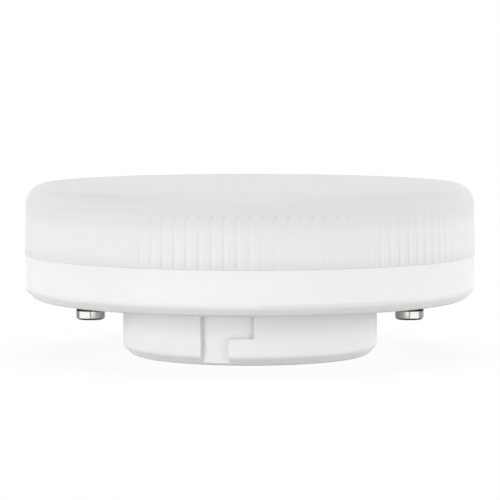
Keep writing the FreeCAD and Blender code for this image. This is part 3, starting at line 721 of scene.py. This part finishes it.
greenBoard = {
    "maskColor": (0.035, 0.22, 0.10),
    "trackColor": (0.045, 0.265, 0.12),
    "laminate": (0.50, 0.47, 0.30),
    "printColor": (0.75, 0.77, 0.72),
    "tin": (0.62, 0.62, 0.60),
    "trackSize": 2.3 * mm,
    "trackRandomness": 0.75,
    "trackGap": (0.12, 0.168),  # bare up to the first, and copper from the second
    "trackDepth": 0.035 * mm,
    "leads": ("input_lead_left", "input_lead_right", "output_lead_positive", "output_lead_negative"),
    "footSlice": 0.05 * mm,  # how much of a lead's lower end counts as its foot
    "padRadius": 1.0,
    "padSoft": 0.04,
    "printedRound": ("input_capacitor", "output_capacitor", "choke_core"),
    "printGap": 0.35,
    "printWidth": 0.09,
    "printSoft": 0.02,
    "grain": {"Grain Size": 0.16},
    "grainShare": 0.25,  # of the tracks' relief
    "roughness": (0.72, 0.36),  # of the sawn edge, and of the mask
}


def makeGreenBoard():
    look = greenBoard
    material, tree, shader = newMaterial("greenBoard")
    point = objectPoint(tree)
    cells = {"Vector": point, "Scale": 1 / look["trackSize"], "Randomness": look["trackRandomness"]}
    first, second = (
        addNode(tree, "ShaderNodeTexVoronoi", cells, distance="CHEBYCHEV", feature=feature)
        for feature in ("F1", "F2")
    )
    border = calc(tree, "SUBTRACT", second.outputs["Distance"], first.outputs["Distance"])
    track = remap(tree, border, *look["trackGap"])
    pads, outlines = 0.0, 0.0
    for name in look["printedRound"]:
        low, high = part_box(name)
        far = fromAxis(tree, objectPoint(tree, middleOf(name)))
        radius = (high.x - low.x) / 2 / mm + look["printGap"]
        outline = between(tree, far, radius, radius + look["printWidth"], look["printSoft"])
        outlines = calc(tree, "MAXIMUM", outlines, outline)
    for name in look["leads"]:
        far = fromAxis(tree, objectPoint(tree, leadFoot(name)))
        pad = remap(tree, far, look["padRadius"], look["padRadius"] + look["padSoft"], 1.0, 0.0)
        pads = calc(tree, "MAXIMUM", pads, pad)
    up = upNormal(tree)
    flat = remap(tree, calc(tree, "ABSOLUTE", up), *levelSpan)
    top = calc(tree, "MULTIPLY", flat, remap(tree, up, *levelSpan))
    color = blendColors(tree, track, look["maskColor"], look["trackColor"])
    color = blendColors(tree, calc(tree, "MULTIPLY", outlines, top), color, look["printColor"])
    color = blendColors(tree, pads, color, look["tin"])
    feed(tree, blendColors(tree, flat, look["laminate"], color), shader["Base Color"])
    feed(tree, calc(tree, "MULTIPLY", pads, flat), shader["Metallic"])
    roughen(tree, shader, flat, look["roughness"])
    grain = useGroup(tree, "surfaceGrain", point, look["grain"])
    copper = calc(tree, "MAXIMUM", track, pads)
    relief = calc(tree, "MULTIPLY_ADD", grain["Height"], look["grainShare"], copper)
    addBump(tree, shader, relief, look["trackDepth"])
    dress(material, "driver_board")


def leadFoot(nodeName):
    # The middle of a lead's lowest points, where it stands on the driver board.
    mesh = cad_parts[nodeName].data
    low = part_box(nodeName)[0].z
    foot = [vertex.co for vertex in mesh.vertices if vertex.co.z < low + greenBoard["footSlice"]]
    return sum(foot, Vector()) / len(foot)


canSleeve = {
    "sleeveColor": (0.02, 0.024, 0.045),
    "stripeColor": (0.45, 0.47, 0.50),
    "metal": (0.70, 0.70, 0.71),
    # painted shade in the scored cross on the lid
    "scoreShade": (0.02, 0.02, 0.02),
    "stripeHalf": 0.32,  # radians each side of the stripe's middle
    "stripeSoft": 0.004,
    "stripeTurn": {"input_capacitor": 2.2, "output_capacitor": -0.8},
    "rim": 0.5 * mm,
    "rimSoft": 0.05 * mm,
    "scoreHalf": 0.06 * mm,
    "scoreShare": 2.0,  # how deep the scored cross is, in wrinkles
    "grain": {"Grain Size": 0.5, "Drift Size": 2.5},
    "grainShare": 0.4,
    "wrinkleDepth": 0.02 * mm,
    "roughness": (0.224, 0.364),
}


def makeCan(nodeName):
    look = canSleeve
    material, tree, shader = newMaterial(f"{nodeName}Sleeve")
    low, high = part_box(nodeName)
    point = objectPoint(tree, middleOf(nodeName))
    axes = axesOf(tree, point)
    # The bare lid lies inside the sleeve's rim, on the upper half alone
    lidRadius = (high.x - low.x) / 2 - look["rim"]
    far = lengthOf(tree, axes["X"], axes["Y"])
    inner = remap(tree, far, lidRadius, lidRadius + look["rimSoft"], 1.0, 0.0)
    lid = product(tree, facingUp(tree), inner, remap(tree, axes["Z"], 0.0, (high.z - low.z) / 4))
    turn = calc(tree, "ARCTAN2", axes["Y"], axes["X"])
    apart = calc(tree, "SUBTRACT", turn, look["stripeTurn"][nodeName])
    edge = math.cos(look["stripeHalf"])
    stripe = remap(tree, calc(tree, "COSINE", apart), edge, edge + look["stripeSoft"])
    cross = calc(tree, "MINIMUM", calc(tree, "ABSOLUTE", axes["X"]), calc(tree, "ABSOLUTE", axes["Y"]))
    score = remap(tree, cross, look["scoreHalf"], look["scoreHalf"] * 2, 1.0, 0.0)
    score = calc(tree, "MULTIPLY", score, lid)
    color = blendColors(tree, stripe, look["sleeveColor"], look["stripeColor"])
    # The scored cross gets painted shade
    metal = blendColors(tree, score, look["metal"], look["scoreShade"])
    feed(tree, blendColors(tree, lid, color, metal), shader["Base Color"])
    feed(tree, lid, shader["Metallic"])
    grain = useGroup(tree, "surfaceGrain", point, look["grain"])
    roughen(tree, shader, grain["Drift"], look["roughness"])
    sunk = calc(tree, "MULTIPLY", score, -look["scoreShare"])
    relief = calc(tree, "MULTIPLY_ADD", grain["Height"], look["grainShare"], sunk)
    addBump(tree, shader, relief, look["wrinkleDepth"])
    dress(material, nodeName)


choke = {
    "ferriteColor": (0.055, 0.055, 0.058),
    "speckColor": (0.12, 0.12, 0.12),
    "ferriteRoughness": (0.527, 0.713),
    "grain": {"Grain Size": 0.12, "Drift Size": 1.4},
    "grainDepth": 0.015 * mm,
    "copperColor": (0.70, 0.30, 0.12),
    # painted shade in the gaps between the wire's turns
    "copperGapShade": (0.42, 0.15, 0.06),
    "wireRoughness": 0.24,
    "rings": {"Pitch": 0.32, "Waver": 0.35},
    "wireDepth": 0.12 * mm,
}


def makeChoke():
    look = choke
    material, tree, shader = newMaterial("chokeFerrite")
    grain = useGroup(tree, "surfaceGrain", objectPoint(tree), look["grain"])
    color = blendColors(tree, grain["Height"], look["ferriteColor"], look["speckColor"])
    feed(tree, color, shader["Base Color"])
    roughen(tree, shader, grain["Drift"], look["ferriteRoughness"])
    addBump(tree, shader, grain["Height"], look["grainDepth"])
    dress(material, "choke_core")
    material, tree, shader = newMaterial("copperWinding")
    rings = useGroup(tree, "evenRings", objectPoint(tree), look["rings"])["Height"]
    # Painted shade: the wire is darker in the troughs between its turns
    feed(tree, blendColors(tree, rings, look["copperGapShade"], look["copperColor"]), shader["Base Color"])
    feed(tree, 1.0, shader["Metallic"])
    feed(tree, look["wireRoughness"], shader["Roughness"])
    addBump(tree, shader, rings, look["wireDepth"])
    dress(material, "choke_winding")


mouldedPackage = {
    "blackColor": (0.022, 0.022, 0.024),
    "dustColor": (0.05, 0.05, 0.05),
    "tin": (0.72, 0.72, 0.70),
    "bodyHalf": {"bridge_rectifier": 1.95, "driver_chip": 1.95, "freewheel_diode": 2.15},
    "leadsAlongX": "freewheel_diode",
    "leadSoft": 0.02 * mm,
    "dotUp": (0.6, 0.8),
    "dotRadius": 0.3 * mm,
    "dotSoft": 0.045 * mm,
    "dotInset": 0.8 * mm,
    "dotShare": 3.0,  # how deep the dot is, in grains
    "grain": {"Grain Size": 0.14, "Drift Size": 1.5},
    "grainDepth": 0.02 * mm,
    "roughness": (0.5, 0.3),  # of the body, and of the leads
}


def makeMouldedPackage(nodeName):
    look = mouldedPackage
    material, tree, shader = newMaterial(f"{nodeName}Mould")
    low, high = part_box(nodeName)
    point = objectPoint(tree, middleOf(nodeName))
    axes = axesOf(tree, point)
    side = axes["X" if nodeName == look["leadsAlongX"] else "Y"]
    half = look["bodyHalf"][nodeName] * mm
    leads = remap(tree, calc(tree, "ABSOLUTE", side), half, half + look["leadSoft"])
    size = (high - low) / 2
    inset = look["dotInset"]
    spot = Vector((inset - size.x, half - inset, 0))
    if nodeName == look["leadsAlongX"]:
        spot = Vector((inset - half, size.y - inset, 0))
    corner = axesOf(tree, objectPoint(tree, spot + middleOf(nodeName)))
    far = lengthOf(tree, corner["X"], corner["Y"])
    dot = remap(tree, far, look["dotRadius"] - look["dotSoft"], look["dotRadius"], 1.0, 0.0)
    dot = calc(tree, "MULTIPLY", dot, facingUp(tree, look["dotUp"]))
    grain = useGroup(tree, "surfaceGrain", point, look["grain"])
    color = blendColors(tree, grain["Drift"], look["blackColor"], look["dustColor"])
    feed(tree, blendColors(tree, leads, color, look["tin"]), shader["Base Color"])
    feed(tree, leads, shader["Metallic"])
    roughen(tree, shader, leads, look["roughness"])
    relief = calc(tree, "SUBTRACT", grain["Height"], calc(tree, "MULTIPLY", dot, look["dotShare"]))
    addBump(tree, shader, relief, look["grainDepth"])
    dress(material, nodeName)


fuseResistor = {
    "coatColor": (0.16, 0.33, 0.27),
    "coatDark": (0.12, 0.27, 0.22),
    "tin": (0.70, 0.70, 0.68),
    "halfLength": 4.0,
    "endSoft": 0.05,
    # Places along the body in millimetres, and the colours of its value bands
    "bands": [
        (-2.6, (0.16, 0.06, 0.02)),
        (-1.4, (0.01, 0.01, 0.01)),
        (-0.4, (0.01, 0.01, 0.01)),
        (1.6, (0.55, 0.38, 0.10)),
    ],
    "bandHalf": 0.22,
    "bandSoft": 0.03,
    "grain": {"Grain Size": 0.2, "Drift Size": 1.6},
    "grainDepth": 0.02 * mm,
    "roughness": (0.42, 0.294),  # of the coat, and of the wires
}


def makeFuseResistor():
    look = fuseResistor
    material, tree, shader = newMaterial("resistorCoat")
    point = objectPoint(tree, middleOf("fuse_resistor"))
    along = calc(tree, "MULTIPLY", axesOf(tree, point)["X"], 1 / mm)
    grain = useGroup(tree, "surfaceGrain", point, look["grain"])
    color = blendColors(tree, grain["Drift"], look["coatColor"], look["coatDark"])
    for place, bandColor in look["bands"]:
        band = between(tree, along, place - look["bandHalf"], place + look["bandHalf"], look["bandSoft"])
        color = blendColors(tree, band, color, bandColor)
    end = look["halfLength"]
    wire = remap(tree, calc(tree, "ABSOLUTE", along), end, end + look["endSoft"])
    feed(tree, blendColors(tree, wire, color, look["tin"]), shader["Base Color"])
    feed(tree, wire, shader["Metallic"])
    roughen(tree, shader, wire, look["roughness"])
    addBump(tree, shader, grain["Height"], look["grainDepth"])
    dress(material, "fuse_resistor")


insulation = {
    "colors": {
        "leadWhite": (0.82, 0.82, 0.80),
        "leadRed": (0.58, 0.035, 0.025),
        "leadBlack": (0.025, 0.025, 0.025),
    },
    "nodes": {
        "leadWhite": ("input_lead_left", "input_lead_right"),
        "leadRed": ("output_lead_positive",),
        "leadBlack": ("output_lead_negative",),
    },
    "wornShare": 0.88,  # of the colour, where the drift is highest
    "solder": (0.66, 0.66, 0.64),
    "stripped": 0.7 * mm,  # bare length at the driver board
    "strippedSoft": 0.05 * mm,
    "grain": {"Drift Size": 3.0},
    "lines": {"Line Size": 0.3, "Stretch": (1.0, 1.0, 8.0)},
    "lineDepth": 0.03 * mm,
    "roughness": (0.289, 0.408),
}


def makeInsulation(name):
    look = insulation
    material, tree, shader = newMaterial(name)
    point = objectPoint(tree)
    names = look["nodes"][name]
    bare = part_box(names[0])[0].z + look["stripped"]
    solder = below(tree, axesOf(tree, point)["Z"], bare, look["strippedSoft"])
    color = look["colors"][name]
    worn = tuple(value * look["wornShare"] for value in color)
    grain = useGroup(tree, "surfaceGrain", point, look["grain"])
    color = blendColors(tree, grain["Drift"], color, worn)
    feed(tree, blendColors(tree, solder, color, look["solder"]), shader["Base Color"])
    feed(tree, solder, shader["Metallic"])
    roughen(tree, shader, grain["Drift"], look["roughness"])
    addBump(tree, shader, useGroup(tree, "drawnLines", point, look["lines"])["Height"], look["lineDepth"])
    dress(material, *names)


makeCamera()
makeWorld()
makeFloor()
makeLamps()
makeCards()
print("studio ready")
makeGrainGroup()
makeLineGroup()
makeTurnGroup()
makeSeatGroup()
print("surface effects ready")
makeMilkyCover()
makeWhiteHousing()
makeNickelPin()
print("outer pieces dressed")
makeSpreader()
makeLightBoard()
makeLedPackages()
makeBoardScrews()
makeGreenBoard()
for can in canSleeve["stripeTurn"]:
    makeCan(can)
makeChoke()
for package in mouldedPackage["bodyHalf"]:
    makeMouldedPackage(package)
makeFuseResistor()
for leads in insulation["colors"]:
    makeInsulation(leads)
print("inner pieces dressed")

bpy.context.scene.view_settings.view_transform = "Standard"
